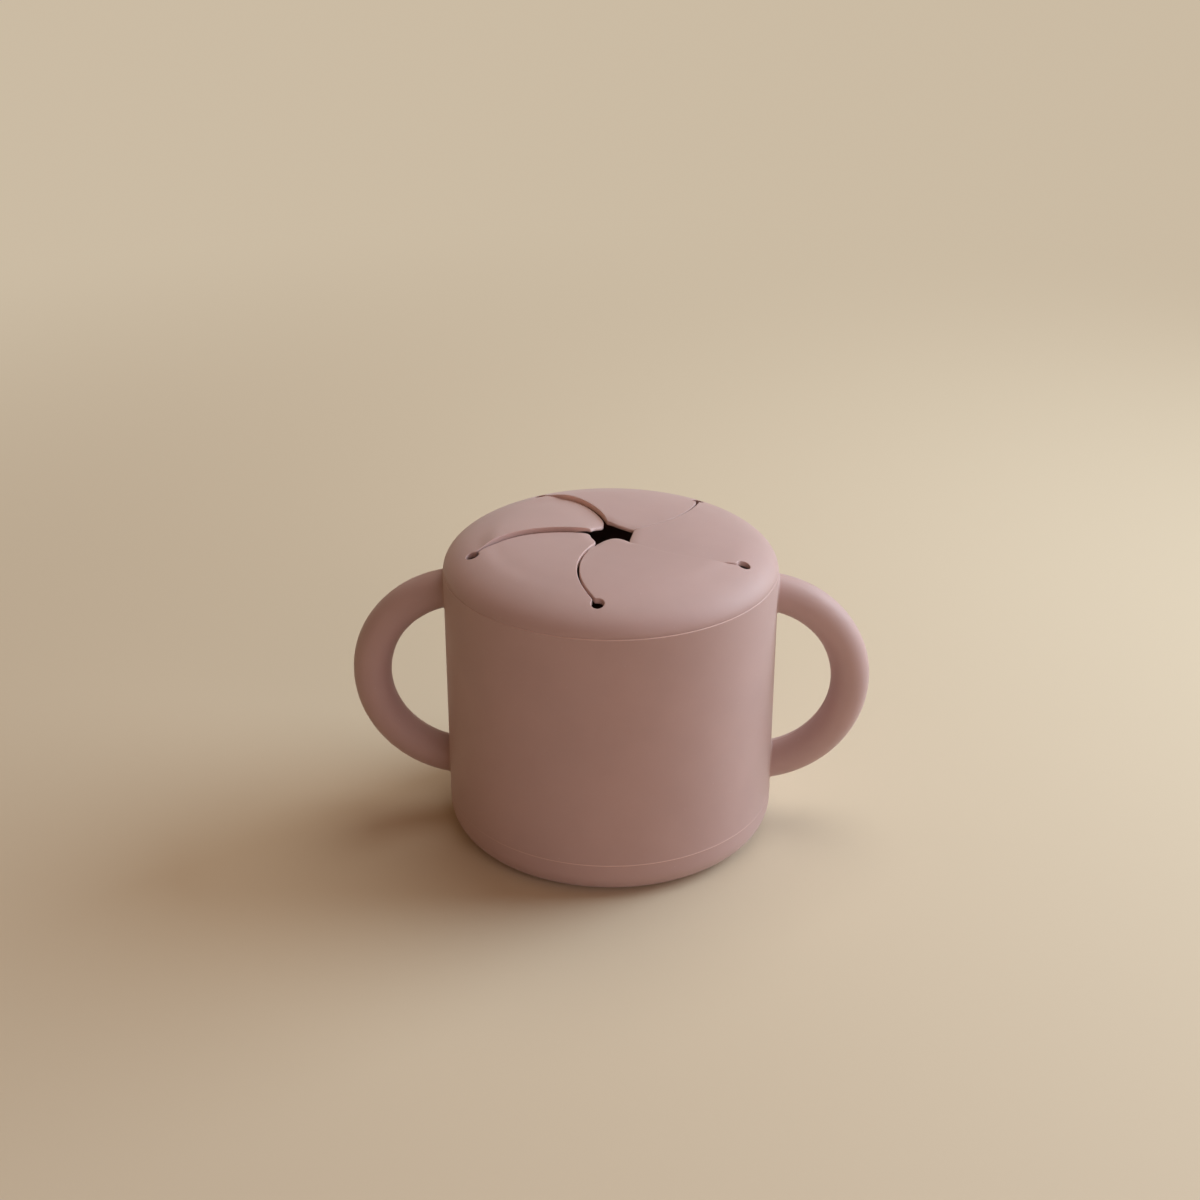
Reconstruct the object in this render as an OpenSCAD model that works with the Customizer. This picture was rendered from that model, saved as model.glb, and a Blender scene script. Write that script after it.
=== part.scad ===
// Toddler snack container: a soft cup with two moulded loop handles and a press-fit lid.
// The lid's crown is cut into five flexible petals by a pinwheel of slits.
// Origin: centre of the base, on the surface it rests on. +Z up, handles along X, front at -Y.
// All sizes are in millimetres.

/* [Cup] */
// Outside diameter of the cup and of the lid
cup_d = 82; // [76:1:90]
// Height of the seam where the lid meets the cup
seam_z = 69.5; // [68:0.5:80]
// Thickness of the side wall
wall_t = 2.6; // [2.2:0.1:3.2]
// Thickness of the floor
floor_t = 3; // [2.4:0.1:4]
// Radius of the rounded edge round the base
base_edge_r = 6; // [4:0.5:8]
// Depth of the shallow recess under the base
base_recess_t = 0.8; // [0.4:0.1:1.2]

/* [Handles] */
// Radius of each handle loop, to the middle of its round bar
loop_r = 24; // [22:0.5:25]
// Diameter of the round bar
bar_d = 9.5; // [8:0.5:11]
// Distance from the cup's axis to the centre of each loop
loop_x = 36; // [34:0.5:38]
// Height of the centre of each loop
loop_z = 39; // [37:0.2:40]

/* [Lid] */
// Height of the domed crown above the seam
dome_h = 8.3; // [8:0.1:10]
// Thickness of the crown and its petals
lid_t = 2; // [1.6:0.1:2.2]
// How far the crown stays flat before it turns down
dome_flatness = 4.26; // [3.8:0.02:4.6]
// How square the lid's shoulder is
shoulder_squareness = 1.82; // [1.7:0.02:2]
// Gap round the lid where it fits over and inside the neck of the cup
fit_gap = 0.2; // [0.15:0.05:0.3]
// How far the sealing lip reaches down into the cup
lip_depth = 4; // [3:0.5:6]

/* [Petals] */
// Distance from the axis to the round relief hole at the end of each slit
relief_x = 34.1; // [33.5:0.1:34.5]
// Diameter of the relief holes
relief_d = 3.4; // [3:0.1:3.6]
// Width of the slits
slit_w = 0.8; // [0.7:0.1:1]
// Degrees that a slit would turn on a straight run from its relief hole to the axis
slit_swirl = 46; // [42:0.5:48]
// Degrees taken off that turn as the slit nears the axis
slit_ease = 17; // [12:0.5:19]
// Direction of the front relief hole, in degrees from +X
front_relief_az = -92.8; // [-100:0.2:-85]
// Radius of the star opening at the ends of the slits
star_r = 6.3; // [6:0.1:7]
// Radius of the star opening at the tips of the petals
tip_r = 4; // [3.6:0.1:4.6]

/* [Hidden] */
$fn = 96;
petals = 5;
pitch = 360 / petals;
cup_r = cup_d / 2;
bar_r = bar_d / 2;
wall_in_r = cup_r - wall_t;

// The neck is the thinner rim of the cup, under the lid's skirt.
skirt_t = 1.9;
neck_t = 1.9;
neck_h = 2.4;
neck_chamfer = 0.7;
neck_r = cup_r - skirt_t - fit_gap;
neck_in_r = neck_r - neck_t;
neck_top = seam_z + neck_h;
neck_taper_z = seam_z - 1.9;

// The sealing lip hangs inside the neck.
lip_gap = 0.3;
lip_t = 1.5;
lip_r = neck_in_r - lip_gap;
lip_z = seam_z - lip_depth;
lip_chamfer = 0.5;
seam_gap = 0.1;

floor_edge_r = 5;
recess_r = 29;

relief_z = seam_z + 3;

dome_steps = 12;
petal_steps = 8;
ring_from = 5;

// A petal bends about the straight line between its two relief holes.
half_pitch = pitch / 2;
hinge_x = relief_x * cos(half_pitch);
hinge_half = relief_x * sin(half_pitch);
hinge_z = seam_z + dome_h - 2.5;
nose_r = 1.7;
nose_gap = 0.3;
root_from = -hinge_half + relief_d / 2;
root_to = 16;
nose_to = 14.5;
root_slit_r = 30.5;
cut_overlap = 0.2;
slit_steps = 12;
tip_steps = 6;

silicone = [0.72, 0.60, 0.58];

// Height of the outside of the lid at a distance r from the axis
function dome_z(r) = seam_z + dome_h * pow(max(0, 1 - pow(r / cup_r, dome_flatness)), 1 / shoulder_squareness);

function dome_r(i) = cup_r * sin(90 * i / dome_steps);

// Turn of a slit at a distance r from the axis, from its relief hole
function slit_turn(r) = let (left = 1 - r / relief_x) -slit_swirl * left + slit_ease * left * left;

// Tangent of the angle between the slit and the straight line out from the axis
function slit_slope(r) = let (left = 1 - r / relief_x)
    (slit_swirl - 2 * slit_ease * left) * (r / relief_x) * PI / 180;

// Point of a slit's edge: side is -1 or 1, gap the distance from the slit's centreline
function slit_point(r, side, gap) =
    let (turn = gap / r * sqrt(1 + pow(slit_slope(r), 2)) * 180 / PI,
         az = side * (half_pitch - turn) + slit_turn(r))
    [r * cos(az), r * sin(az)];

function slit_edge(from_r, to_r, side, gap) =
    [for (i = [0:slit_steps]) slit_point(from_r + (to_r - from_r) * i / slit_steps, side, gap)];

// Rounded tip of a petal, from its upper to its lower star point
function petal_tip() =
    [for (i = [1:tip_steps - 1])
        let (u = i / tip_steps,
             r = star_r - (star_r - tip_r) * sin(180 * u),
             az = half_pitch * (1 - 2 * u) * 0.9 + slit_turn(star_r))
        [r * cos(az), r * sin(az)]];

function petal_az(k) = front_relief_az + half_pitch + pitch * (k - 1);

// Outline of a petal whose middle lies along +X
function petal_outline(gap) = concat(
    slit_edge(star_r, relief_x, -1, gap),
    [[hinge_x, root_to]],
    slit_edge(root_slit_r, star_r, 1, gap),
    petal_tip());

// Space that one petal and its bending line take out of the ring
function ring_cutout() = concat(
    [[0, 0]],
    slit_edge(star_r, relief_x, -1, 0),
    [[hinge_x + nose_r + nose_gap, root_from],
     [hinge_x + nose_r + nose_gap, root_to + nose_gap]],
    slit_edge(root_slit_r + nose_gap, star_r, 1, -cut_overlap));

// Half section of a round body with its lower edge rounded
module rounded_half(r, z0, z1, edge_r) {
    translate([0, z0 + edge_r]) square([r, z1 - z0 - edge_r]);
    translate([0, z0]) square([r - edge_r, edge_r]);
    translate([r - edge_r, z0 + edge_r]) circle(edge_r);
}

module cup_body() {
    color(silicone) rotate_extrude() difference() {
        union() {
            rounded_half(cup_r, 0, seam_z, base_edge_r);
            polygon([[0, seam_z - 1], [neck_r, seam_z - 1], [neck_r, neck_top - neck_chamfer],
                     [neck_r - neck_chamfer, neck_top], [0, neck_top]]);
        }
        rounded_half(wall_in_r, floor_t, neck_taper_z - (wall_in_r - neck_in_r), floor_edge_r);
        polygon([[0, floor_t + floor_edge_r],
                 [wall_in_r, floor_t + floor_edge_r],
                 [wall_in_r, neck_taper_z - (wall_in_r - neck_in_r)],
                 [neck_in_r, neck_taper_z], [neck_in_r, neck_top + 1], [0, neck_top + 1]]);
        polygon([[0, -1], [recess_r, -1], [recess_r, 0],
                 [recess_r - base_recess_t, base_recess_t], [0, base_recess_t]]);
    }
}

// Loop of round bar, cut to the cup's wall that it is moulded onto
module handle(side) {
    color(silicone) difference() {
        translate([side * loop_x, 0, loop_z]) rotate([90, 0, 0])
            rotate_extrude() translate([loop_r, 0]) circle(bar_r);
        cylinder(r = cup_r, h = seam_z);
    }
}

// Domed sheet of the crown, out past the relief holes
module crown_sheet() {
    rotate_extrude() polygon(concat(
        [for (i = [0:petal_steps]) [dome_r(i), dome_z(dome_r(i))]],
        [for (i = [petal_steps:-1:0]) [dome_r(i), dome_z(dome_r(i)) - lid_t]]));
}

module relief_holes() {
    for (k = [0:petals - 1]) rotate([0, 0, front_relief_az + pitch * k])
        translate([relief_x, 0, relief_z]) cylinder(d = relief_d, h = dome_h);
}

// Shoulder, skirt, groove over the neck and sealing lip of the lid
module lid_ring() {
    shoulder = [for (i = [ring_from:dome_steps]) [dome_r(i), i == dome_steps ? seam_z + seam_gap : dome_z(dome_r(i))]];
    underside = [for (i = [petal_steps - 1:-1:ring_from]) [dome_r(i), dome_z(dome_r(i)) - lid_t]];
    groove_r = cup_r - skirt_t;
    groove_top = neck_top + fit_gap;
    color(silicone) difference() {
        rotate_extrude() polygon(concat(
            shoulder,
            [[groove_r, seam_z + seam_gap], [groove_r, groove_top - neck_chamfer],
             [groove_r - neck_chamfer, groove_top], [lip_r, groove_top],
             [lip_r, lip_z + lip_chamfer], [lip_r - lip_chamfer, lip_z], [lip_r - lip_t, lip_z],
             [lip_r - lip_t, groove_top]],
            underside));
        for (k = [1:petals]) rotate([0, 0, petal_az(k)])
            translate([0, 0, lip_z - 1]) linear_extrude(seam_z + dome_h - lip_z + 2)
                polygon(ring_cutout());
        relief_holes();
    }
}

module petal(k) {
    color(silicone) rotate([0, 0, petal_az(k)]) difference() {
        intersection() {
            crown_sheet();
            union() {
                translate([0, 0, seam_z]) linear_extrude(dome_h + 1) polygon(petal_outline(slit_w / 2));
                translate([hinge_x, root_from, hinge_z]) rotate([-90, 0, 0])
                    cylinder(r = nose_r, h = nose_to - root_from);
            }
        }
        rotate([0, 0, -petal_az(k)]) relief_holes();
    }
}

cup_body();
handle(-1);  // handle_left
handle(1);  // handle_right
lid_ring();
petal(1);  // petal_1
petal(2);  // petal_2
petal(3);  // petal_3
petal(4);  // petal_4
petal(5);  // petal_5
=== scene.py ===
"""Toddler snack container: soft cup with two loop handles and a press-fit lid with five slit petals.

Everything is in metres, in the frame of the packed model: +Z up, handles along X, front at -Y.
"""

import math

import bmesh
import bpy
from bpy.props import FloatProperty, FloatVectorProperty, PointerProperty
from mathutils import Matrix, Vector
from mathutils.geometry import delaunay_2d_cdt


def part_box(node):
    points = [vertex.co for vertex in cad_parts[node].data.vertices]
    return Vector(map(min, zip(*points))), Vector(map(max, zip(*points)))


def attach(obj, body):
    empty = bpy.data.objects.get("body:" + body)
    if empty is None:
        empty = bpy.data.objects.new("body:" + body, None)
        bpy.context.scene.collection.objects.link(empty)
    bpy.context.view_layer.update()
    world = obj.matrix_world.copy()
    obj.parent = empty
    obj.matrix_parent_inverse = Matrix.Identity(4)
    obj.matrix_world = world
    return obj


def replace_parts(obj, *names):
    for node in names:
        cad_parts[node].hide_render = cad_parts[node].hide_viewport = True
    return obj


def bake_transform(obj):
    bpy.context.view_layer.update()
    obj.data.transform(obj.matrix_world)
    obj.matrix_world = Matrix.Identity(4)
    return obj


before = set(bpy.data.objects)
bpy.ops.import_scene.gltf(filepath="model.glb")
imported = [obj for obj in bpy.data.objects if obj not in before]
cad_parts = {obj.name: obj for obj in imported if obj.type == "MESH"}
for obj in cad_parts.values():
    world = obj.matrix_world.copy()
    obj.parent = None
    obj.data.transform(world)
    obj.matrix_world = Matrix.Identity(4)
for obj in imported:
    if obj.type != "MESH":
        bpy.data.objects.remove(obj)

bl_info = {
    "name": "Toddler Snack Container",
    "version": (1, 0, 0),
    "blender": (4, 5, 0),
    "location": "View3D > Sidebar > Snack Cup",
    "description": "Builds the cup, its handles and its lid with five bending petals",
    "category": "Object",
}

MM = 0.001
PETALS = 5
PITCH = math.tau / PETALS
HALF_PITCH = PITCH / 2
CUP_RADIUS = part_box("cup_body")[1].x
NECK_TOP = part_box("cup_body")[1].z
LIP_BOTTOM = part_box("lid_ring")[0].z
# Clearance between the lid and the neck, and the neck's outer edge, which the groove follows
FIT_GAP = 0.2 * MM
NECK_EDGE = 0.7 * MM
# Direction in which the cup's edge stands out most from under the lid's skirt, and towards which the
# highlight painted on the cup's edge and mould line is strongest
BRIGHT_SIDE = math.radians(-80)


def length(name, description, default, low=0.0):
    return FloatProperty(name=name, description=description, default=default, min=low,
                         unit="LENGTH", precision=5)


def tone(name, description, default):
    return FloatVectorProperty(name=name, description=description, default=default,
                               subtype="COLOR", size=3, min=0.0, max=1.0)


class CupSizes(bpy.types.PropertyGroup):
    """Sizes of the cup."""

    radius: length("Radius", "Outside radius of the cup and the lid", CUP_RADIUS)
    seam_height: length("Seam height", "Height where the lid meets the cup", 69.5 * MM)
    wall: length("Wall", "Thickness of the side wall", 2.6 * MM)
    floor: length("Floor", "Thickness of the floor", 3 * MM)
    base_edge: length("Base edge", "Radius of the rounded edge round the base", 6 * MM)
    recess_radius: length("Recess radius", "Radius of the shallow recess under the base", 29 * MM)
    recess_depth: length("Recess depth", "Depth of the recess under the base", 0.8 * MM)
    neck_radius: length("Neck radius", "Outside radius of the neck under the lid", 38.9 * MM)
    neck_bore: length("Neck bore", "Inside radius of the neck", 37 * MM)
    flash_height: length("Flash height", "Height of the fine mould line near the base", 8.9 * MM)
    flash_lift: length("Flash lift", "How far the mould lines stand out", 0.07 * MM)


class HandleSizes(bpy.types.PropertyGroup):
    """Sizes of the two loop handles."""

    loop: length("Loop radius", "Radius of the loop to the middle of its bar", 24 * MM)
    bar: length("Bar radius", "Radius of the round bar", 4.75 * MM)
    centre_x: length("Centre distance", "Distance from the cup's axis to the loop's centre", 36 * MM)
    centre_z: length("Centre height", "Height of the loop's centre", 39 * MM)
    root_fillet: length("Root fillet", "Radius of the small fillet where the bar meets the wall", 0.5 * MM)


class LidSizes(bpy.types.PropertyGroup):
    """Sizes of the lid and its petals."""

    dome_height: length("Dome height", "Height of the crown above the seam", 8.3 * MM)
    flatness: FloatProperty(name="Flatness", description="How far the crown stays flat",
                            default=4.26, min=2.0, max=8.0)
    squareness: FloatProperty(name="Squareness", description="How square the shoulder is",
                              default=1.82, min=1.0, max=4.0)
    thickness: length("Thickness", "Thickness of the petals between root and tip", 1.7 * MM)
    root_thickness: length("Root thickness", "Thickness where the petals bend", 1.45 * MM)
    tip_thickness: length("Tip thickness", "Thickness of the petals at their tips", 0.9 * MM)
    relief_distance: length("Relief distance", "Distance from the axis to the relief holes", 34.1 * MM)
    relief_radius: length("Relief radius", "Radius of the relief holes", 1.55 * MM)
    slit: length("Slit", "Width of the slits", 0.6 * MM)
    edge: length("Edge", "Radius of the rounded edges of slits and holes", 0.2 * MM)
    star_radius: length("Star radius", "Radius of the star opening at the slits", 6.3 * MM)
    star_points: FloatVectorProperty(name="Star points", description="Distance of the inner end of "
                                     "each slit from the axis, from the front one", size=5,
                                     unit="LENGTH",
                                     default=[6.3 * MM, 6.3 * MM, 5.9 * MM, 7.2 * MM, 5.0 * MM])
    tips: FloatVectorProperty(name="Tips", description="Distance of each petal's tip from the axis",
                              size=5, unit="LENGTH",
                              default=[3.0 * MM, 5.0 * MM, 5.0 * MM, 5.2 * MM, 4.8 * MM])
    low_corners: FloatVectorProperty(name="Low corners", description="Cut of each tip's clockwise "
                                     "corner", size=5, unit="LENGTH",
                                     default=[0.45 * MM, 0.45 * MM, 0.45 * MM, 2.4 * MM, 0.9 * MM])
    high_corners: FloatVectorProperty(name="High corners", description="Cut of each tip's other "
                                      "corner", size=5, unit="LENGTH",
                                      default=[0.45 * MM, 0.45 * MM, 0.45 * MM, 0.45 * MM, 1.2 * MM])
    droop: length("Droop", "How far the tips curl down", 0.35 * MM)
    swirl: FloatProperty(name="Swirl", description="Turn of a slit between its hole and the axis",
                         default=math.radians(46), subtype="ANGLE")
    ease: FloatProperty(name="Ease", description="Turn taken off as the slit nears the axis",
                        default=math.radians(17), subtype="ANGLE")
    front_relief: FloatProperty(name="Front relief", description="Direction of the front relief hole",
                                default=math.radians(-92.8), subtype="ANGLE")
    drifts: FloatVectorProperty(name="Drifts", description="How far each slit's inner end has turned, "
                                "from the front one", size=5, subtype="NONE",
                                default=[math.radians(-2.3), 0.0, 0.0, math.radians(3), 0.0])
    seam_inset: length("Seam inset", "How far the skirt's edge lies inside the cup's", 0.11 * MM)
    seam_shift: length("Seam shift", "How far the lid's skirt sits towards the back", 0.08 * MM)
    raised: FloatVectorProperty(name="Raised edges", description="How far the counter-clockwise edge "
                                "of each petal stands above the crown", size=5, unit="LENGTH",
                                default=[0.5 * MM, 0.22 * MM, 0.4 * MM, 0.75 * MM, 0.0])
    settled: FloatVectorProperty(name="Settled edges", description="How far the clockwise edge of "
                                 "each petal has settled below the crown", size=5, unit="LENGTH",
                                 default=[0.05 * MM, 0.3 * MM, 0.1 * MM, 0.8 * MM, 0.4 * MM])
    # Painted glow: how much of the lighter colour is painted along each slit's edges and at the tips,
    # standing for light coming through them
    painted_glows: FloatVectorProperty(name="Painted glows", description="How much light comes through the edges of "
                               "each slit, from the front one", size=5, min=0.0, max=1.0,
                               default=[0.7, 0.7, 0.3, 1.0, 0.27])
    painted_tip_glow: FloatProperty(name="Painted tip glow", description="How much light comes through the tips",
                            default=0.7, min=0.0, max=1.0)
    bend_length: length("Bend length", "How far the bend of a petal spreads from its root", 10 * MM)


class SiliconeLook(bpy.types.PropertyGroup):
    """Finish of the silicone, with the colour painted on its edges as glow and highlight."""

    colour: tone("Colour", "Colour of the silicone", (0.452, 0.300, 0.283))
    # Painted light: lighter colour painted on the thin petal edges as glow and on the cup's edge and mould
    # line as highlight
    rim_colour: tone("Painted light colour", "Colour of the thin edges, where light comes through",
                     (0.82, 0.57, 0.52))
    roughness: FloatProperty(name="Roughness", description="Roughness of the moulded surface",
                             default=0.56, min=0.0, max=1.0)
    sheen: FloatProperty(name="Sheen", description="Strength of the powdery sheen",
                         default=0.22, min=0.0, max=1.0)


class StageLook(bpy.types.PropertyGroup):
    """Floor, light and camera."""

    floor_colour: tone("Floor colour", "Colour of the floor", (0.63, 0.52, 0.385))
    far_colour: tone("Backdrop colour", "Even colour of the floor far from the cup", (0.60, 0.50, 0.37))
    key: FloatProperty(name="Key light", description="Power of the soft low light on the right",
                       default=9.9, unit="POWER")
    key_colour: tone("Key colour", "Colour of the key light", (0.71, 0.88, 1.0))
    top: FloatProperty(name="Top light", description="Power of the high light behind the cup",
                       default=3.0, unit="POWER")
    top_colour: tone("Top colour", "Colour of the high light", (1.0, 1.0, 0.93))
    fill: FloatProperty(name="Fill light", description="Power of the low light in front", default=2.0,
                        unit="POWER")
    fill_colour: tone("Fill colour", "Colour of the light in front", (1.0, 0.89, 0.91))
    sky: FloatProperty(name="Sky", description="Strength of the light from all round", default=0.24)
    sky_colour: tone("Sky colour", "Colour of the light from all round", (1.0, 0.58, 0.31))
    lens: FloatProperty(name="Lens", description="Focal length of the camera in millimetres",
                        default=57.02)


SETTINGS = {"cup": CupSizes, "handles": HandleSizes, "lid": LidSizes, "silicone": SiliconeLook,
            "stage": StageLook}


def settings(part):
    return getattr(bpy.context.scene, "snack_" + part)


# Shapes ---------------------------------------------------------------------------------------


def polar(radius, angle, z=0.0):
    return Vector((radius * math.cos(angle), radius * math.sin(angle), z))


def smooth_step(t):
    t = min(max(t, 0.0), 1.0)
    return t * t * (3 - 2 * t)


def arc(centre, radius, start, end, steps):
    """Points of a round corner in a half section, angles in degrees."""
    return [(centre[0] + radius * math.cos(math.radians(start + (end - start) * i / steps)),
             centre[1] + radius * math.sin(math.radians(start + (end - start) * i / steps)))
            for i in range(steps + 1)]


def supported(outline, closed, reach=0.25 * MM, step=2.5 * MM):
    """Adds points to the long runs of an outline, so that rounded corners don't shade into them."""
    pairs = list(zip(outline, outline[1:] + outline[:1]))
    result = []
    for a, b in pairs if closed else pairs[:-1]:
        result.append(a)
        run = math.dist(a, b)
        if run <= 3 * reach:
            continue
        spans = max(1, math.ceil((run - 2 * reach) / step))
        for i in range(spans + 1):
            share = (reach + (run - 2 * reach) * i / spans) / run
            result.append((a[0] + (b[0] - a[0]) * share, a[1] + (b[1] - a[1]) * share))
    return result if closed else result + [outline[-1]]


def ridged_angles(count, ridge_width):
    """Angles round a turned piece, with extra ones for the mould line on each side."""
    near = [ridge_width * s for s in (-1.0, -0.6, -0.3, 0.3, 0.6, 1.0)]
    angles = [math.tau * i / count for i in range(count)]
    extra = [(side + a) % math.tau for side in (0.0, math.pi) for a in near]
    return sorted(angles + extra)


def ridge(angle, ridge_width):
    """Height of the mould line at an angle from the middle plane of the mould."""
    side_share = 0.8
    off = abs((angle + math.pi / 2) % math.pi - math.pi / 2)
    return settings("cup").flash_lift * side_share * max(0.0, 1 - (off / ridge_width) ** 2) ** 2


def turned(name, outline, angles, closed, lift=lambda r, z, angle: 0.0):
    """Solid of revolution of a half section. lift moves a point out from the axis."""
    mesh = bmesh.new()
    rings = []
    for r, z in outline:
        if r < 1e-7:
            rings.append([mesh.verts.new((0, 0, z))])
        else:
            rings.append([mesh.verts.new(polar(r + lift(r, z, a), a, z)) for a in angles])
    pairs = list(zip(rings, rings[1:] + rings[:1]))
    count = len(angles)
    for low, high in pairs if closed else pairs[:-1]:
        for i in range(count):
            j = (i + 1) % count
            corners = [low[i % len(low)], low[j % len(low)], high[j % len(high)], high[i % len(high)]]
            corners = list(dict.fromkeys(corners))
            if len(corners) > 2:
                mesh.faces.new(corners)
    bmesh.ops.recalc_face_normals(mesh, faces=mesh.faces)
    return to_object(name, mesh)


def to_object(name, mesh):
    """Smooth object made of a mesh under construction."""
    data = bpy.data.meshes.new(name)
    for face in mesh.faces:
        face.smooth = True
    mesh.to_mesh(data)
    mesh.free()
    piece = bpy.data.objects.new(name, data)
    bpy.context.scene.collection.objects.link(piece)
    return piece


def crown_height(r):
    """Height of the outside of the lid at a distance r from the axis."""
    cup, lid = settings("cup"), settings("lid")
    fall = max(0.0, 1 - (r / cup.radius) ** lid.flatness)
    return cup.seam_height + lid.dome_height * fall ** (1 / lid.squareness)


def slit_turn(r):
    """Turn of a slit at a distance r from the axis, from the direction of its relief hole."""
    lid = settings("lid")
    left = 1 - r / lid.relief_distance
    return -lid.swirl * left + lid.ease * left * left


def slit_beside(number, side):
    """Place in the lists, from the front slit, of the slit on one side of a petal."""
    return (number - 1 + (side > 0)) % PETALS


def drift(r, number, side):
    """How far the slit beside a petal has turned from its even place."""
    lid = settings("lid")
    at_hole, run = 0.3, 20 * MM
    share = at_hole + (1 - at_hole) * smooth_step((lid.relief_distance - r) / run)
    return lid.drifts[slit_beside(number, side)] * share


def relief_centre(number, side):
    """Centre of the relief hole beside a petal whose middle lies along +X."""
    r = settings("lid").relief_distance
    return polar(r, side * HALF_PITCH + drift(r, number, side))


def slit_slope(r):
    """Tangent of the angle between a slit and the straight line out from the axis."""
    lid = settings("lid")
    left = 1 - r / lid.relief_distance
    return (lid.swirl - 2 * lid.ease * left) * r / lid.relief_distance


# Silicone -------------------------------------------------------------------------------------


def link(tree, source, target):
    tree.links.new(source, target)


def node(tree, kind, **values):
    """New node, with values for its own settings or for its input sockets."""
    made = tree.nodes.new(kind)
    for key, value in values.items():
        if hasattr(made, key):
            setattr(made, key, value)
        else:
            made.inputs[key.replace("_", " ").title()].default_value = value
    return made


def silicone_group():
    """Colour, roughness and height of moulded silicone: fine matt grain, faint mottle and lint, and a
    lighter colour painted on thin edges as glow and highlight.
    """
    name = "Moulded silicone surface"
    if name in bpy.data.node_groups:
        return bpy.data.node_groups[name]
    group = bpy.data.node_groups.new(name, "ShaderNodeTree")
    for label, kind in (("Colour", "NodeSocketColor"), ("Painted Light Colour", "NodeSocketColor"),
                        ("Roughness", "NodeSocketFloat"), ("Mottle", "NodeSocketFloat"),
                        ("Lint", "NodeSocketFloat")):
        group.interface.new_socket(label, in_out="INPUT", socket_type=kind)
    for label, kind in (("Colour", "NodeSocketColor"), ("Roughness", "NodeSocketFloat"),
                        ("Height", "NodeSocketFloat")):
        group.interface.new_socket(label, in_out="OUTPUT", socket_type=kind)
    given = node(group, "NodeGroupInput")
    result = node(group, "NodeGroupOutput")
    place = node(group, "ShaderNodeTexCoord")

    mottle = node(group, "ShaderNodeTexNoise", scale=55.0, detail=3.0, roughness=0.55)
    link(group, place.outputs["Object"], mottle.inputs["Vector"])
    mottle_span = node(group, "ShaderNodeMapRange")
    mottle_span.inputs["From Min"].default_value = 0.3
    mottle_span.inputs["From Max"].default_value = 0.7
    mottle_span.inputs["To Min"].default_value = -0.5
    mottle_span.inputs["To Max"].default_value = 0.5
    link(group, mottle.outputs["Fac"], mottle_span.inputs["Value"])
    mottle_amount = node(group, "ShaderNodeMath", operation="MULTIPLY_ADD")
    mottle_amount.inputs[2].default_value = 1.0
    link(group, mottle_span.outputs["Result"], mottle_amount.inputs[0])
    link(group, given.outputs["Mottle"], mottle_amount.inputs[1])

    # Painted light: where the attribute is set, the lighter colour stands in for glow through thin edges
    # and for highlights
    rim = node(group, "ShaderNodeAttribute", attribute_name="rim")
    with_rim = node(group, "ShaderNodeMix", data_type="RGBA")
    link(group, rim.outputs["Fac"], with_rim.inputs["Factor"])
    link(group, given.outputs["Colour"], with_rim.inputs["A"])
    link(group, given.outputs["Painted Light Colour"], with_rim.inputs["B"])

    shaded = node(group, "ShaderNodeVectorMath", operation="SCALE")
    link(group, with_rim.outputs["Result"], shaded.inputs[0])
    link(group, mottle_amount.outputs[0], shaded.inputs["Scale"])

    specks = node(group, "ShaderNodeTexVoronoi", scale=900.0)
    link(group, place.outputs["Object"], specks.inputs["Vector"])
    speck_spots = node(group, "ShaderNodeMapRange")
    speck_spots.inputs["From Min"].default_value = 0.10
    speck_spots.inputs["From Max"].default_value = 0.04
    link(group, specks.outputs["Distance"], speck_spots.inputs["Value"])
    speck_choice = node(group, "ShaderNodeSeparateColor")
    link(group, specks.outputs["Color"], speck_choice.inputs["Color"])
    speck_rare = node(group, "ShaderNodeMath", operation="GREATER_THAN")
    speck_rare.inputs[1].default_value = 0.93
    link(group, speck_choice.outputs["Red"], speck_rare.inputs[0])
    speck_mask = node(group, "ShaderNodeMath", operation="MULTIPLY")
    link(group, speck_spots.outputs["Result"], speck_mask.inputs[0])
    link(group, speck_rare.outputs[0], speck_mask.inputs[1])
    lint = node(group, "ShaderNodeMath", operation="MULTIPLY")
    link(group, speck_mask.outputs[0], lint.inputs[0])
    link(group, given.outputs["Lint"], lint.inputs[1])
    dusted = node(group, "ShaderNodeMix", data_type="RGBA")
    dusted.inputs["B"].default_value = (0.80, 0.74, 0.70, 1.0)
    link(group, lint.outputs[0], dusted.inputs["Factor"])
    link(group, shaded.outputs[0], dusted.inputs["A"])
    link(group, dusted.outputs["Result"], result.inputs["Colour"])

    handled = node(group, "ShaderNodeTexNoise", scale=90.0, detail=2.0)
    link(group, place.outputs["Object"], handled.inputs["Vector"])
    handled_span = node(group, "ShaderNodeMapRange")
    handled_span.inputs["To Min"].default_value = -0.06
    handled_span.inputs["To Max"].default_value = 0.06
    link(group, handled.outputs["Fac"], handled_span.inputs["Value"])
    rough = node(group, "ShaderNodeMath", operation="ADD", use_clamp=True)
    link(group, given.outputs["Roughness"], rough.inputs[0])
    link(group, handled_span.outputs["Result"], rough.inputs[1])
    link(group, rough.outputs[0], result.inputs["Roughness"])

    grain = node(group, "ShaderNodeTexNoise", scale=4200.0, detail=2.0)
    link(group, place.outputs["Object"], grain.inputs["Vector"])
    ripple = node(group, "ShaderNodeTexNoise", scale=70.0, detail=1.0)
    link(group, place.outputs["Object"], ripple.inputs["Vector"])
    ripple_share = node(group, "ShaderNodeMath", operation="MULTIPLY_ADD")
    ripple_share.inputs[1].default_value = 6.0
    link(group, ripple.outputs["Fac"], ripple_share.inputs[0])
    link(group, grain.outputs["Fac"], ripple_share.inputs[2])
    link(group, ripple_share.outputs[0], result.inputs["Height"])
    return group


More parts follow.
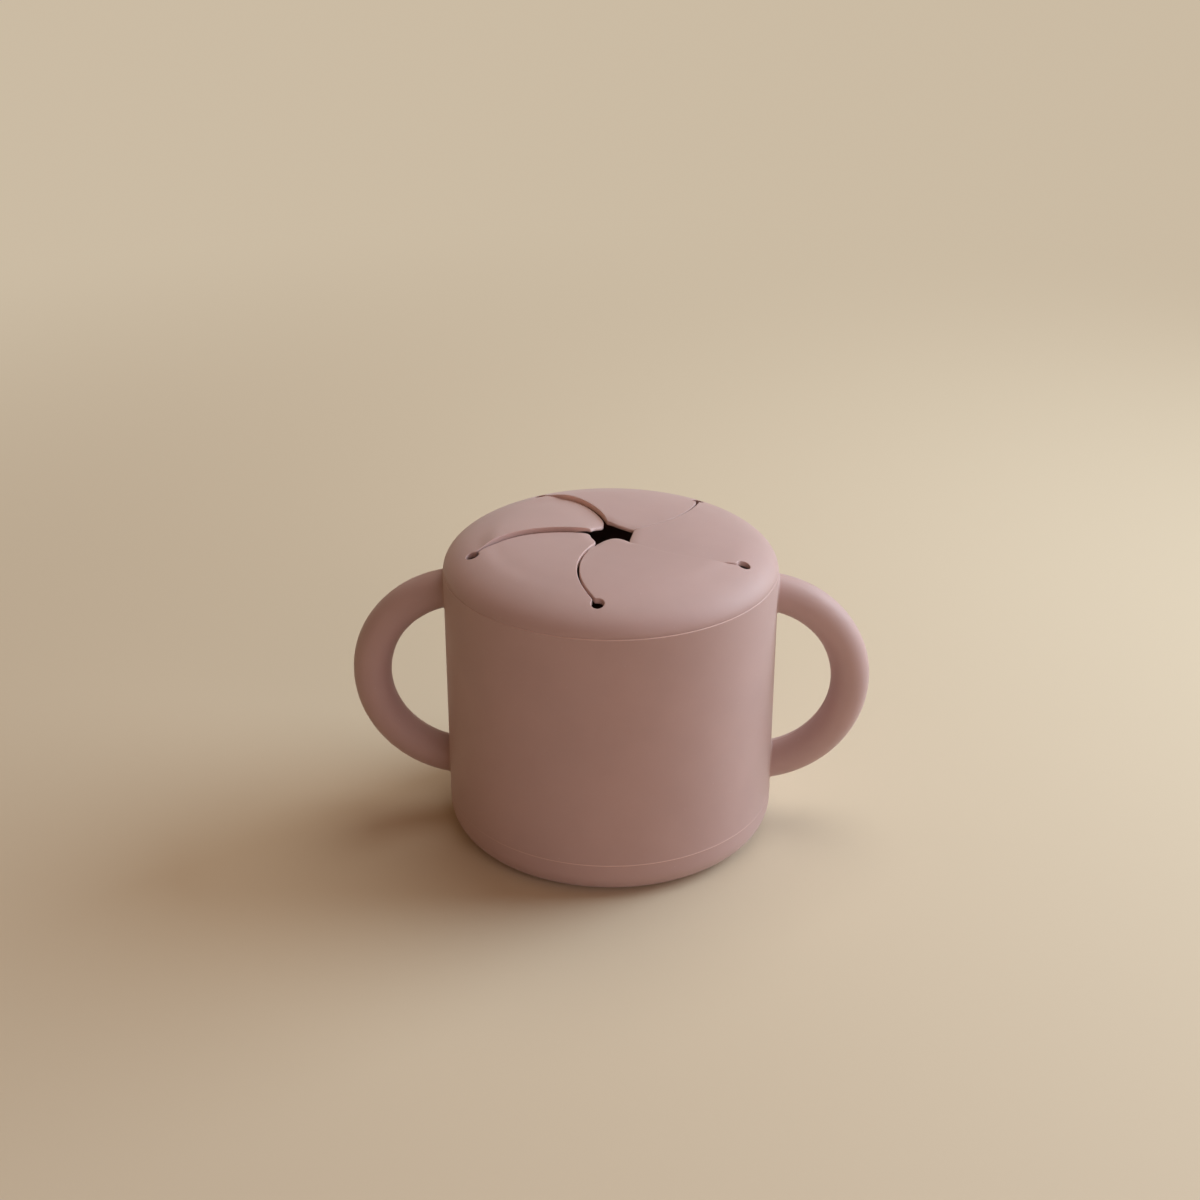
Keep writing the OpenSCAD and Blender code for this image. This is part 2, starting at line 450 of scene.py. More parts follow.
def silicone(slot):
    """Matt food-grade silicone with a powdery sheen, slightly translucent, with glow and highlights painted
    on its thin edges.
    """
    look = settings("silicone")
    name = slot.replace("_", " ")
    if name in bpy.data.materials:
        return bpy.data.materials[name]
    material = bpy.data.materials.new(name)
    material.use_nodes = True
    tree = material.node_tree
    tree.nodes.clear()
    shader = node(tree, "ShaderNodeBsdfPrincipled")
    output = node(tree, "ShaderNodeOutputMaterial")
    surface = node(tree, "ShaderNodeGroup")
    surface.node_tree = silicone_group()
    surface.inputs["Colour"].default_value = (*look.colour, 1.0)
    surface.inputs["Painted Light Colour"].default_value = (*look.rim_colour, 1.0)
    surface.inputs["Roughness"].default_value = look.roughness
    surface.inputs["Mottle"].default_value = 0.07
    surface.inputs["Lint"].default_value = 0.35
    bump = node(tree, "ShaderNodeBump")
    bump.inputs["Strength"].default_value = 0.35
    bump.inputs["Distance"].default_value = 0.02 * MM
    link(tree, surface.outputs["Colour"], shader.inputs["Base Color"])
    link(tree, surface.outputs["Roughness"], shader.inputs["Roughness"])
    link(tree, surface.outputs["Height"], bump.inputs["Height"])
    link(tree, bump.outputs["Normal"], shader.inputs["Normal"])
    shader.inputs["IOR"].default_value = 1.41
    shader.inputs["Sheen Weight"].default_value = look.sheen
    shader.inputs["Sheen Roughness"].default_value = 0.45
    shader.inputs["Sheen Tint"].default_value = (0.95, 0.86, 0.84, 1.0)
    shader.inputs["Subsurface Weight"].default_value = 0.12
    shader.inputs["Subsurface Radius"].default_value = (1.0, 0.65, 0.55)
    shader.inputs["Subsurface Scale"].default_value = 1.2 * MM
    link(tree, shader.outputs["BSDF"], output.inputs["Surface"])
    return material


def finished(piece, slot):
    """The piece with the silicone of its slot."""
    piece.data.materials.clear()
    piece.data.materials.append(silicone(slot))
    return piece


# Cup and handles ------------------------------------------------------------------------------


class SNACKCUP_OT_cup(bpy.types.Operator):
    """Cup: rounded base with a shallow recess, straight wall, neck for the lid, fine mould lines, and a
    highlight painted on its top edge and lower mould line
    """

    bl_idname = "snackcup.make_cup"
    bl_label = "Make Cup"

    def execute(self, context):
        cup = settings("cup")
        r, seam = cup.radius, cup.seam_height
        inner, bore = cup.radius - cup.wall, cup.neck_bore
        ledge, rim_edge, taper = 0.22 * MM, 0.5 * MM, 1.9 * MM
        recess_edge, stand_edge, floor_edge = 0.4 * MM, 0.6 * MM, 5 * MM
        flash = [(r, cup.flash_height + side * 0.2 * MM) for side in (-1, 1)]
        ridge_line = [(r + cup.flash_lift * lift, cup.flash_height + off * MM)
                      for off, lift in ((-0.12, 0.25), (-0.06, 0.8), (0.0, 1.0), (0.06, 0.8), (0.12, 0.25))]
        recess_in = cup.recess_radius - cup.recess_depth
        outline = [(0.0, cup.recess_depth)]
        outline += arc((recess_in - recess_edge, cup.recess_depth - recess_edge), recess_edge, 90, 45, 4)
        outline += arc((cup.recess_radius + stand_edge, stand_edge), stand_edge, 225, 270, 4)
        outline += arc((r - cup.base_edge, cup.base_edge), cup.base_edge, -90, 0, 20)
        outline += [flash[0], *ridge_line, flash[1]]
        outline += arc((r - ledge, seam - ledge), ledge, 0, 90, 7)
        outline += arc((cup.neck_radius + FIT_GAP, seam + FIT_GAP), FIT_GAP, 270, 180, 4)
        outline += arc((cup.neck_radius - NECK_EDGE, NECK_TOP - NECK_EDGE), NECK_EDGE, 0, 90, 7)
        outline += arc((bore + rim_edge, NECK_TOP - rim_edge), rim_edge, 90, 180, 6)
        outline += [(bore, seam - taper), (inner, seam - taper - (inner - bore))]
        outline += arc((inner - floor_edge, cup.floor + floor_edge), floor_edge, 0, -90, 14)
        outline += [(0.0, cup.floor)]
        side_line = 0.25 * MM / r

        def lift(radius, z, angle):
            outside = radius > r - 1e-6 and z < seam - ledge + 1e-6
            return ridge(angle, side_line) if outside else 0.0

        piece = turned("cup", supported(outline, False), ridged_angles(224, side_line), False, lift)
        # Painted highlight: the cup's top edge and the mould line near the base get the lighter painted
        # colour, most towards BRIGHT_SIDE and fading round the cup
        rim = piece.data.attributes.new("rim", "FLOAT", "POINT")
        ledge_painted_highlight, flash_painted_highlight = 0.75, 0.6
        for i, v in enumerate(piece.data.vertices):
            out = math.hypot(v.co.x, v.co.y)
            highlight_facing = max(0.0, math.cos(math.atan2(v.co.y, v.co.x) - BRIGHT_SIDE)) ** 2
            if out > cup.neck_radius + 0.3 * MM:
                rim.data[i].value = ledge_painted_highlight * highlight_facing * smooth_step((v.co.z - seam + ledge) / ledge)
            if out > r + 0.02 * MM and abs(v.co.z - cup.flash_height) < 0.1 * MM:
                rim.data[i].value = flash_painted_highlight * highlight_facing
        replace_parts(finished(piece, "cup_silicone"), "cup_body")
        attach(piece, "cup")
        return {"FINISHED"}


def handle_row(sizes, wall_radius, u, lift):
    """Points of the bar along one line of its surface, from the upper root to the lower one."""
    in_wall = [-0.6 * MM, -0.2 * MM]
    past_fillet = sizes.root_fillet + 0.35 * MM
    steps = 7
    fillet = [sizes.root_fillet * (1 - math.cos(math.pi / 2 * i / steps)) for i in range(steps + 1)]
    points = []

    def at(turn, bar):
        out = sizes.loop + bar * math.cos(u)
        return (sizes.centre_x + out * math.cos(turn), bar * math.sin(u),
                sizes.centre_z + out * math.sin(turn))

    for depth in (*in_wall, *fillet, past_fillet):
        inside = min(max(depth, 0.0), sizes.root_fillet)
        left = sizes.root_fillet - inside
        flare = sizes.root_fillet - math.sqrt(sizes.root_fillet ** 2 - left ** 2)
        bar = sizes.bar + flare + lift
        y = bar * math.sin(u)
        x = math.sqrt((wall_radius + depth) ** 2 - y * y)
        turn = math.acos((x - sizes.centre_x) / (sizes.loop + bar * math.cos(u)))
        points.append((turn, bar))
    root_turn, bar = points[-1]
    spans = 72
    loop = [(root_turn * (1 - 2 * i / spans), bar) for i in range(1, spans)]
    run = points + loop + [(-turn, bar) for turn, bar in reversed(points)]
    return [at(turn, bar) for turn, bar in run]


class SNACKCUP_OT_handles(bpy.types.Operator):
    """Handles: a loop of round bar on each side, with a small fillet at both roots"""

    bl_idname = "snackcup.make_handles"
    bl_label = "Make Handles"

    def execute(self, context):
        sizes, wall_radius = settings("handles"), settings("cup").radius
        line = 0.3 * MM / sizes.bar
        angles = ridged_angles(56, line)
        for name, side in (("handle_left", -1), ("handle_right", 1)):
            mesh = bmesh.new()
            rows = []
            for u in angles:
                row = handle_row(sizes, wall_radius, u, ridge(u, line))
                rows.append([mesh.verts.new((side * x, y, z)) for x, y, z in row])
            for i, row in enumerate(rows):
                after = rows[(i + 1) % len(rows)]
                for j in range(len(row) - 1):
                    mesh.faces.new((row[j], after[j], after[j + 1], row[j + 1]))
            for end in (0, -1):
                mesh.faces.new([row[end] for row in rows])
            bmesh.ops.recalc_face_normals(mesh, faces=mesh.faces)
            piece = finished(to_object(name + "_loop", mesh), "cup_silicone")
            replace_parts(piece, name)
            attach(piece, "cup")
        return {"FINISHED"}


# Lid ------------------------------------------------------------------------------------------


def division_radius():
    """Distance from the axis where the crown's petals meet the ring."""
    lid = settings("lid")
    land = 0.35 * MM
    return lid.relief_distance + lid.relief_radius + lid.edge + land


class SNACKCUP_OT_lid_ring(bpy.types.Operator):
    """Lid ring: domed shoulder, skirt, groove over the neck and sealing lip"""

    bl_idname = "snackcup.make_lid_ring"
    bl_label = "Make Lid Ring"

    def execute(self, context):
        cup, lid = settings("cup"), settings("lid")
        r, seam = cup.radius, cup.seam_height
        start = division_radius()
        skirt_edge, gap, shoulder_end = 0.07 * MM, 0.02 * MM, 0.6 * MM
        groove, groove_top = cup.neck_radius + FIT_GAP, NECK_TOP + FIT_GAP
        lip_gap, lip_thickness, lip_edge, lip_inner_edge = 0.3 * MM, 1.5 * MM, 0.7 * MM, 0.5 * MM
        lip = cup.neck_bore - lip_gap
        lip_in = lip - lip_thickness
        steps = 60
        turn_start = math.asin(start / r)
        shoulder = []
        for i in range(steps + 1):
            turn = turn_start + (math.pi / 2 - turn_start) * i / steps
            radius = r * math.sin(turn)
            shoulder.append((radius, crown_height(radius)))
        outline = [(x, z) for x, z in shoulder if z > seam + shoulder_end]
        outline += arc((r - skirt_edge, seam + gap + skirt_edge), skirt_edge, 0, -90, 5)
        outline += [(groove, seam + gap), (groove, groove_top - NECK_EDGE),
                    (groove - NECK_EDGE, groove_top), (lip, groove_top)]
        outline += arc((lip - lip_edge, LIP_BOTTOM + lip_edge), lip_edge, 0, -90, 6)
        outline += arc((lip_in + lip_inner_edge, LIP_BOTTOM + lip_inner_edge), lip_inner_edge, 270, 180, 5)
        under = crown_height(lip_in) - lid.root_thickness
        outline += [(lip_in, under), (start, crown_height(start) - lid.root_thickness)]
        count = 360
        angles = [lid.front_relief + math.tau * i / count for i in range(count)]

        def lift(radius, z, angle):
            share = max(0.0, (radius - start) / (r - start)) ** 3
            return -share * (lid.seam_inset + lid.seam_shift * math.cos(angle - BRIGHT_SIDE))

        piece = turned("lid_shoulder", supported(outline, True), angles, True, lift)
        match_crown(piece, start)
        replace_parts(finished(piece, "lid_silicone"), "lid_ring")
        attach(piece, "lid")
        return {"FINISHED"}


def crown_normal(point):
    """Direction square to the crown at a point."""
    r = math.hypot(point.x, point.y)
    small = 0.01 * MM
    slope = (crown_height(r + small) - crown_height(r - small)) / (2 * small)
    return Vector((-slope * point.x / r, -slope * point.y / r, 1)).normalized()


def match_crown(piece, radius):
    """Gives the outside points at a distance from the axis the crown's own direction."""
    data = piece.data
    normals = [v.normal.copy() for v in data.vertices]
    for i, v in enumerate(data.vertices):
        if abs(math.hypot(v.co.x, v.co.y) - radius) < 0.01 * MM and \
                abs(v.co.z - crown_height(radius)) < 0.05 * MM:
            normals[i] = crown_normal(v.co)
    data.normals_split_custom_set_from_vertices(normals)


def trimmed(points, cut):
    """The polyline without its last stretch of length cut."""
    points = list(points)
    while len(points) > 1:
        run = (points[-2] - points[-1]).length
        if run > cut:
            points[-1] = points[-1].lerp(points[-2], cut / run)
            return points
        cut -= run
        points.pop()
    return points


def softened(before, after, cut):
    """Joins two polylines with a rounded corner that starts cut away from it."""
    corner = after[0]
    before = trimmed(before, cut)
    after = trimmed(after[::-1], cut)[::-1]
    a, b = before[-1], after[0]
    steps = 6
    curve = [a * (1 - t) ** 2 + corner * 2 * t * (1 - t) + b * t * t
             for t in (i / steps for i in range(1, steps))]
    return before + curve + after


def resampled(points, step):
    """Even spacing along a polyline, keeping its ends."""
    lengths = [0.0]
    for a, b in zip(points, points[1:]):
        lengths.append(lengths[-1] + (b - a).length)
    count = max(2, round(lengths[-1] / step))
    result, i = [], 0
    for k in range(count + 1):
        want = lengths[-1] * k / count
        while i < len(points) - 2 and lengths[i + 1] < want:
            i += 1
        span = max(lengths[i + 1] - lengths[i], 1e-12)
        result.append(points[i].lerp(points[i + 1], min(1.0, (want - lengths[i]) / span)))
    return result


def star_point(number, side):
    """Distance from the axis to the inner end of the slit beside a petal."""
    return settings("lid").star_points[slit_beside(number, side)]


def slit_edge(number, side):
    """Edge of the petal along one slit, from the star opening to the relief hole."""
    lid = settings("lid")
    centre = relief_centre(number, side)
    start = star_point(number, side)
    points, steps = [], 90
    for i in range(steps + 1):
        r = start + (lid.relief_distance - start) * i / steps
        gap = lid.slit / 2 * math.sqrt(1 + slit_slope(r) ** 2) / r
        point = polar(r, side * HALF_PITCH + drift(r, number, side) + slit_turn(r) - side * gap)
        if (point - centre).length > lid.relief_radius:
            points.append(point)
    return points


def relief_arc(number, side):
    """Edge of the relief hole, from the slit's mouth to the line between two petals' roots."""
    lid = settings("lid")
    centre = relief_centre(number, side)
    off = drift(lid.relief_distance, number, side)
    slit_at = math.pi + math.atan(slit_slope(lid.relief_distance))
    mouth = math.asin(lid.slit / 2 / lid.relief_radius)
    start = slit_at - mouth if side < 0 else slit_at + mouth - math.tau
    end = -off - math.asin(math.sin(off) * lid.relief_distance / lid.relief_radius)
    steps = 40
    return [centre + polar(lid.relief_radius,
                           side * HALF_PITCH + off + start + (end - start) * i / steps)
            for i in range(steps + 1)]


def tip_line(number, y):
    """Distance of a petal's rounded tip from the axis, y to the side of the tip's middle."""
    lid = settings("lid")
    r = star_point(number, y)
    half = HALF_PITCH - lid.slit / 2 / r
    chord, width = r * math.cos(half), r * math.sin(half)
    return chord + (lid.tips[number - 1] - chord) * max(-0.5, 1 - (y / width) ** 2), width


def petal_tip(number):
    """Rounded tip of the petal, from the lower star point to the upper one."""
    turn = slit_turn(settings("lid").star_radius)
    steps = 30
    points = []
    for i in range(steps + 1):
        share = 2 * i / steps - 1
        y = share * tip_line(number, share)[1]
        x = tip_line(number, y)[0]
        points.append(polar(math.hypot(x, y), math.atan2(y, x) + turn))
    return points


def petal_outline(number):
    """Free edge of a petal whose middle lies along +X, counter-clockwise round the material."""
    lid = settings("lid")
    step, mouth = 0.3 * MM, 0.45 * MM
    tip = petal_tip(number)
    half = len(tip) // 2
    low = softened(tip[half::-1], slit_edge(number, -1), lid.low_corners[number - 1])
    high = softened(tip[half:], slit_edge(number, 1), lid.high_corners[number - 1])
    going_out = softened(low, relief_arc(number, -1), mouth)
    going_in = softened(high, relief_arc(number, 1), mouth)
    return resampled(going_in[::-1], step)[:-1] + resampled(going_out, step)


def inward(points, i):
    """Direction into the material at a point of the free edge."""
    a, b = points[max(i - 1, 0)], points[min(i + 1, len(points) - 1)]
    along = (b - a).normalized()
    return Vector((-along.y, along.x, 0))


def petal_thickness(r):
    """Thin at the tip, full in the middle and a little thinner where the petal bends."""
    lid = settings("lid")
    tip_end, tip_run = 5 * MM, 6 * MM
    root_start, root_run = 27 * MM, 5 * MM
    body = lid.tip_thickness + (lid.thickness - lid.tip_thickness) * smooth_step((r - tip_end) / tip_run)
    return body + (lid.root_thickness - body) * smooth_step((r - root_start) / root_run)


def settled_drop(point, number):
    """How far a point of a petal lies below the even crown, because use has tilted the petal."""
    lid = settings("lid")
    root_run, curl_run = 5 * MM, 2.4 * MM
    r = math.hypot(point.x, point.y)
    free = smooth_step((lid.relief_distance - lid.relief_radius - r) / root_run)
    across = (math.atan2(point.y, point.x) - slit_turn(r)) / HALF_PITCH
    share = (1 - min(max(across, -1.0), 1.0)) / 2
    tilt = lid.settled[number - 1] * share - lid.raised[number - 1] * (1 - share)
    angle = math.atan2(point.y, point.x) - slit_turn(lid.star_radius)
    to_tip = r * math.cos(angle) - tip_line(number, r * math.sin(angle))[0]
    curl = max(0.0, 1 - max(to_tip, 0.0) / curl_run) ** 2
    return free * tilt + lid.droop * curl


def petal_top(point, number):
    return crown_height(math.hypot(point.x, point.y)) - settled_drop(point, number)


def painted_edge_glow(point, number):
    """Share of the glow painted on the edge, standing for light that comes through it: less at the hole,
    and its own for each slit.
    """
    lid = settings("lid")
    r = math.hypot(point.x, point.y)
    of_slit = lid.painted_glows[slit_beside(number, math.atan2(point.y, point.x) - slit_turn(r))]
    tip_end, tip_run, hole_run, at_hole = lid.star_radius + 1 * MM, 3 * MM, 6 * MM, 0.4
    along = smooth_step((r - tip_end) / tip_run)
    clear_of_hole = smooth_step((lid.relief_distance - lid.relief_radius - r) / hole_run)
    share = at_hole + (1 - at_hole) * clear_of_hole
    return share * (lid.painted_tip_glow + (of_slit - lid.painted_tip_glow) * along)


def edge_radius(point):
    """The edges are rounder at the tips, where hands rub them."""
    lid = settings("lid")
    wear, run = 0.7, 3 * MM
    worn = smooth_step((lid.star_radius + run / 2 - math.hypot(point.x, point.y)) / run)
    return lid.edge * (1 + wear * worn)


def inner_points(edge, number, spacing):
    """Points that fill the petal in rows at even distances from the axis."""
    lid = settings("lid")
    end, tip = division_radius(), lid.tips[number - 1]
    clear = lid.edge + 0.15 * MM + spacing / 2
    side_margin, near_star = 0.7 * spacing, lid.star_radius + 5 * MM
    holes = [relief_centre(number, side) for side in (-1, 1)]
    rows = int((end - tip) / spacing)
    points = []
    for row in range(1, rows):
        r = end - row * (end - tip) / rows
        if r > lid.relief_distance:
            margin = side_margin / r
            low, high = margin - HALF_PITCH, HALF_PITCH - margin
        else:
            margin = (clear + lid.slit / 2) * math.sqrt(1 + slit_slope(r) ** 2) / r
            low = slit_turn(r) - HALF_PITCH + drift(r, number, -1) + margin
            high = slit_turn(r) + HALF_PITCH + drift(r, number, 1) - margin
        count = max(1, round((high - low) * r / spacing))
        shift = 0.5 if row % 2 else 0.0
        for i in range(count):
            point = polar(r, low + (high - low) * (i + shift) / count)
            if min((point - hole).length for hole in holes) < lid.relief_radius + clear:
                continue
            if r < near_star and min((point - e).length for e in edge) < clear:
                continue
            if r < lid.star_radius and not inside(point, edge):
                continue
            points.append(point)
    return points


def inside(point, edge):
    """True if the point is on the material's side of the nearest stretch of edge."""
    i = min(range(len(edge)), key=lambda k: (edge[k] - point).length)
    return (point - edge[i]).dot(inward(edge, i)) > 0


def face_height(point, number, drop, face):
    """Height of a point of a petal's upper face, or of its lower one where face is negative."""
    top = petal_top(point, number)
    if face > 0:
        return top - drop
    return top - petal_thickness(math.hypot(point.x, point.y)) + drop


def edge_rows(mesh, edge, number):
    """Rows of points along the rounded free edge, from the upper face to the lower one."""
    rim = mesh.verts.layers.float.new("rim")
    directions = [inward(edge, i) for i in range(len(edge))]
    directions[0] = polar(1.0, HALF_PITCH)
    directions[-1] = polar(1.0, -HALF_PITCH)
    radii = [edge_radius(point) for point in edge]
    steps, support = 5, 0.12 * MM
    corner = [(1 - math.cos(t), 1 - math.sin(t), 0.0)
              for t in (math.pi / 2 * i / steps for i in range(steps + 1))]
    loops = corner + [(1.0, 0.0, support)]
    rows = []
    for face, order in ((1, loops[::-1]), (-1, loops)):
        for inset, drop, extra in order:
            row = []
            for point, direction, radius in zip(edge, directions, radii):
                flat = point + direction * (inset * radius + extra)
                height = face_height(flat, number, drop * radius, face)
                vert = mesh.verts.new((flat.x, flat.y, height))
                # Painted glow: the rounded edge takes a share of the lighter painted colour, as if light
                # came through it
                vert[rim] = drop * painted_edge_glow(point, number)
                row.append(vert)
            rows.append(row)
    for a, b in zip(rows, rows[1:]):
        for i in range(len(edge) - 1):
            mesh.faces.new((a[i], b[i], b[i + 1], a[i + 1]))
    return rows


def petal_faces(mesh, edge, rows, number):
    """Fills the upper and the lower face, and returns the points of both along the petal's root."""
    end, arc_steps = division_radius(), 72
    far = [polar(end, -HALF_PITCH + PITCH * i / arc_steps) for i in range(arc_steps + 1)]
    flat_points = [v.co.to_2d() for v in rows[0]] + [p.to_2d() for p in far]
    ring_count = len(flat_points)
    flat_points += [p.to_2d() for p in inner_points(edge, number, 0.85 * MM)]
    ring_edges = [(i, (i + 1) % ring_count) for i in range(ring_count)]
    made, _, faces, origin, _, _ = delaunay_2d_cdt(flat_points, ring_edges, [], 1, 1e-9)
    arcs = []
    for face, row in ((1, rows[0]), (-1, rows[-1])):
        verts = []
        for i, flat in enumerate(made):
            source = origin[i][0] if origin[i] else None
            if source is not None and source < len(edge):
                verts.append(row[source])
            else:
                verts.append(mesh.verts.new((flat.x, flat.y, face_height(flat, number, 0.0, face))))
        arcs.append(arc_verts(verts, origin, len(edge), ring_count))
        for corners in faces:
            order = corners if face > 0 else corners[::-1]
            mesh.faces.new([verts[i] for i in order])
    return arcs


def petal_normals(mesh, top_arc):
    """Directions of the points, with those along the root as the ring and the next petal have them."""
    mesh.normal_update()
    normals = {v: v.normal.copy() for v in mesh.verts}
    for v in mesh.verts:
        for side in (-1, 1):
            across = polar(1.0, side * HALF_PITCH + math.pi / 2)
            if abs(v.co.x * across.x + v.co.y * across.y) < 1e-7 and v.co.x > 0 and \
                    math.hypot(v.co.x, v.co.y) > settings("lid").relief_distance:
                normals[v] = (normals[v] - across * normals[v].dot(across)).normalized()
    for v in top_arc:
        normals[v] = crown_normal(v.co)
    return normals


def petal_mesh(name, number, middle):
    """Thick domed sheet with rounded edges along the slits, the relief holes and the star."""
    edge = petal_outline(number)
    mesh = bmesh.new()
    rows = edge_rows(mesh, edge, number)
    top_arc, low_arc = petal_faces(mesh, edge, rows, number)
    normals = petal_normals(mesh, top_arc)
    for a, b, c, d in zip(top_arc, top_arc[1:], low_arc[1:], low_arc):
        mesh.faces.new((b, a, d, c))
    mesh.faces.new([top_arc[0], *(row[-1] for row in rows), low_arc[0]])
    mesh.faces.new([*(row[0] for row in rows), low_arc[-1], top_arc[-1]][::-1])
    mesh.verts.index_update()
    order = [None] * len(mesh.verts)
    for v, normal in normals.items():
        order[v.index] = normal
    piece = to_object(name, mesh)
    piece.data.normals_split_custom_set_from_vertices(order)
    piece.matrix_world = Matrix.Rotation(middle, 4, "Z")
    return piece


def arc_verts(verts, origin, first, count):
    """Vertices that came from the given points first to count - 1, in their order."""
    found = {}
    for i, source in enumerate(origin):
        if source and first <= source[0] < count:
            found[source[0]] = verts[i]
    return [found[k] for k in range(first, count)]


class SNACKCUP_OT_petals(bpy.types.Operator):
    """Petals: five soft leaves of the crown, each with its root between two relief holes"""

    bl_idname = "snackcup.make_petals"
    bl_label = "Make Petals"

    def execute(self, context):
        lid = settings("lid")
        for k in range(PETALS):
            name = f"petal_{k + 1}"
            middle = lid.front_relief + HALF_PITCH + PITCH * k
            piece = finished(petal_mesh(name + "_leaf", k + 1, middle), "lid_silicone")
            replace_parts(piece, name)
            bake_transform(piece)
        return {"FINISHED"}


# Stage ----------------------------------------------------------------------------------------


def stage_material():
    """Pale floor that keeps the cup's shadow and fades to an even colour far from it."""
    look = settings("stage")
    material = bpy.data.materials.new("Pale floor")
    material.use_nodes = True
    tree = material.node_tree
    shader = tree.nodes["Principled BSDF"]
    shader.inputs["Roughness"].default_value = 0.75
    place = node(tree, "ShaderNodeTexCoord")
    cloud = node(tree, "ShaderNodeTexNoise", scale=4.0, detail=2.0)
    blend = node(tree, "ShaderNodeMix", data_type="RGBA")
    blend.inputs["A"].default_value = (*look.floor_colour, 1.0)
    blend.inputs["B"].default_value = (*(c * 0.97 for c in look.floor_colour), 1.0)
    link(tree, place.outputs["Object"], cloud.inputs["Vector"])
    link(tree, cloud.outputs["Fac"], blend.inputs["Factor"])
    link(tree, blend.outputs["Result"], shader.inputs["Base Color"])

    away = node(tree, "ShaderNodeVectorMath", operation="LENGTH")
    fade_from, fade_to = 0.12, 0.6
    span = node(tree, "ShaderNodeMapRange", interpolation_type="SMOOTHSTEP")
    span.inputs["From Min"].default_value = fade_from
    span.inputs["From Max"].default_value = fade_to
    ray = node(tree, "ShaderNodeLightPath")
    mirrored = node(tree, "ShaderNodeMath", operation="ADD", use_clamp=True)
    seen = node(tree, "ShaderNodeMath", operation="ADD", use_clamp=True)
    share = node(tree, "ShaderNodeMath", operation="MULTIPLY")
    far = node(tree, "ShaderNodeEmission")
    far.inputs["Color"].default_value = (*look.far_colour, 1.0)
    mix = node(tree, "ShaderNodeMixShader")
    link(tree, place.outputs["Object"], away.inputs[0])
    link(tree, away.outputs["Value"], span.inputs["Value"])
    link(tree, span.outputs["Result"], share.inputs[0])
    link(tree, ray.outputs["Is Glossy Ray"], mirrored.inputs[0])
    link(tree, ray.outputs["Is Transmission Ray"], mirrored.inputs[1])
    link(tree, ray.outputs["Is Camera Ray"], seen.inputs[0])
    link(tree, mirrored.outputs[0], seen.inputs[1])
    link(tree, seen.outputs[0], share.inputs[1])
    link(tree, share.outputs[0], mix.inputs[0])
    link(tree, shader.outputs["BSDF"], mix.inputs[1])
    link(tree, far.outputs["Emission"], mix.inputs[2])
    link(tree, mix.outputs[0], tree.nodes["Material Output"].inputs["Surface"])
    return material


def soft_light(name, power, colour, azimuth, elevation, distance=0.9, size=0.7):
    """Round area light that looks at the middle of the cup, out of the camera's sight."""
    lamp = bpy.data.lights.new(name, "AREA")
    lamp.shape = "DISK"
    lamp.size = size
    lamp.energy = power
    lamp.color = colour
    holder = bpy.data.objects.new(name, lamp)
    bpy.context.scene.collection.objects.link(holder)
    tilt = math.radians(elevation)
    cup_middle = Vector((0.0, 0.0, 0.04))
    out = polar(math.cos(tilt), math.radians(azimuth), math.sin(tilt))
    holder.location = cup_middle + out * distance
    holder.rotation_mode = "QUATERNION"
    holder.rotation_quaternion = (-out).to_track_quat("-Z", "Y")
    holder.visible_camera = False


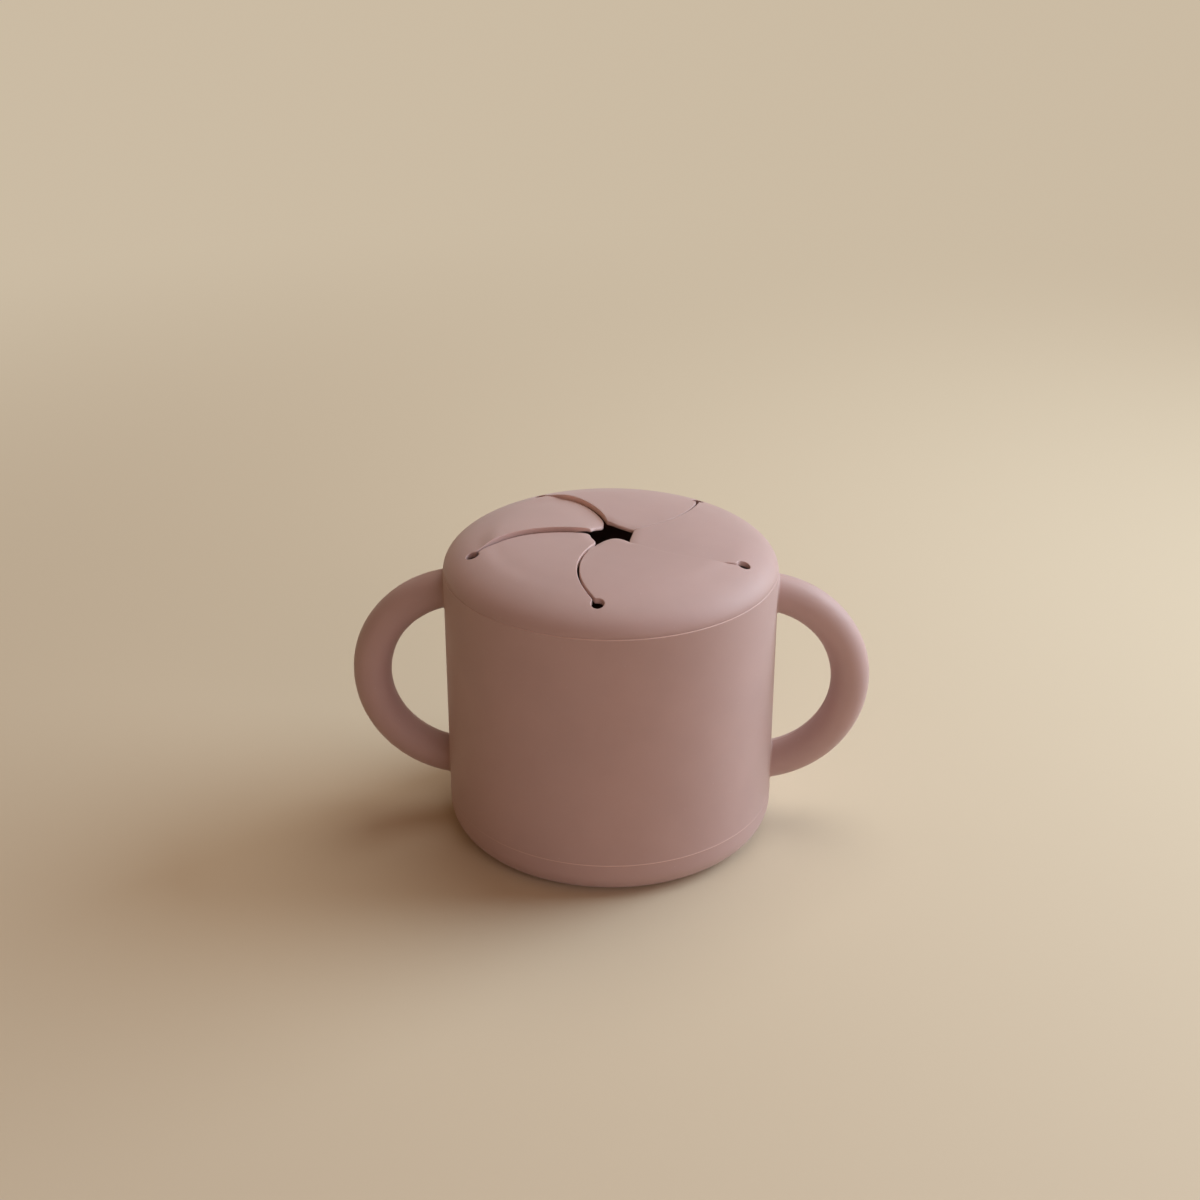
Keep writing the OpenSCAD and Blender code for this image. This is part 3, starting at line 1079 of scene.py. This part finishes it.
class SNACKCUP_OT_stage(bpy.types.Operator):
    """Stage: pale floor that curves up all round, soft light from the right, and the camera"""

    bl_idname = "snackcup.make_stage"
    bl_label = "Make Stage"

    def execute(self, context):
        look = settings("stage")
        scene = context.scene
        flat, bend, rings, count = 1.5, 1.5, 10, 96
        outline = [(0.0, 0.0)] + [(flat / rings * (i + 1), 0.0) for i in range(rings)]
        outline += arc((flat, bend), bend, -90, -8, 24)[1:]
        floor = turned("floor", outline, [math.tau * i / count for i in range(count)], False)
        floor.data.flip_normals()
        floor.data.materials.append(stage_material())

        soft_light("key", look.key, look.key_colour, azimuth=20, elevation=28)
        soft_light("top", look.top, look.top_colour, azimuth=60, elevation=68)
        soft_light("fill", look.fill, look.fill_colour, azimuth=-60, elevation=18)

        world = bpy.data.worlds.new("Soft sky")
        scene.world = world
        world.use_nodes = True
        background = world.node_tree.nodes["Background"]
        background.inputs["Color"].default_value = (*look.sky_colour, 1.0)
        background.inputs["Strength"].default_value = look.sky

        lens = bpy.data.cameras.new("camera")
        lens.lens = look.lens
        lens.sensor_width = 36.0
        lens.clip_start = 0.01
        holder = bpy.data.objects.new("camera", lens)
        scene.collection.objects.link(holder)
        place = Vector((11.35, -422.07, 264.24)) * MM
        aim = Vector((-2.63, 0.0, 59.73)) * MM
        holder.location = place
        holder.rotation_mode = "QUATERNION"
        holder.rotation_quaternion = (aim - place).to_track_quat("-Z", "Y")
        scene.camera = holder
        return {"FINISHED"}


OPERATORS = (SNACKCUP_OT_cup, SNACKCUP_OT_handles, SNACKCUP_OT_lid_ring, SNACKCUP_OT_petals,
             SNACKCUP_OT_stage)


class SNACKCUP_PT_panel(bpy.types.Panel):
    """Sizes and finish of the snack container, and a button for each piece"""

    bl_label = "Snack Cup"
    bl_idname = "SNACKCUP_PT_panel"
    bl_space_type = "VIEW_3D"
    bl_region_type = "UI"
    bl_category = "Snack Cup"

    def draw(self, context):
        for part, group in SETTINGS.items():
            box = self.layout.box()
            box.label(text=group.__doc__)
            for key in group.__annotations__:
                box.prop(getattr(context.scene, "snack_" + part), key)
        for operator in OPERATORS:
            self.layout.operator(operator.bl_idname)


def register():
    for group in (*SETTINGS.values(), *OPERATORS, SNACKCUP_PT_panel):
        bpy.utils.register_class(group)
    for part, group in SETTINGS.items():
        setattr(bpy.types.Scene, "snack_" + part, PointerProperty(type=group))


def unregister():
    for part in SETTINGS:
        delattr(bpy.types.Scene, "snack_" + part)
    for group in reversed((*SETTINGS.values(), *OPERATORS, SNACKCUP_PT_panel)):
        bpy.utils.unregister_class(group)


def main():
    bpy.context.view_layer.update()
    register()
    bpy.context.scene.view_settings.view_transform = "Standard"
    bpy.ops.snackcup.make_cup()
    bpy.ops.snackcup.make_handles()
    bpy.ops.snackcup.make_lid_ring()
    bpy.ops.snackcup.make_petals()
    bpy.ops.snackcup.make_stage()


if __name__ == "__main__":
    main()
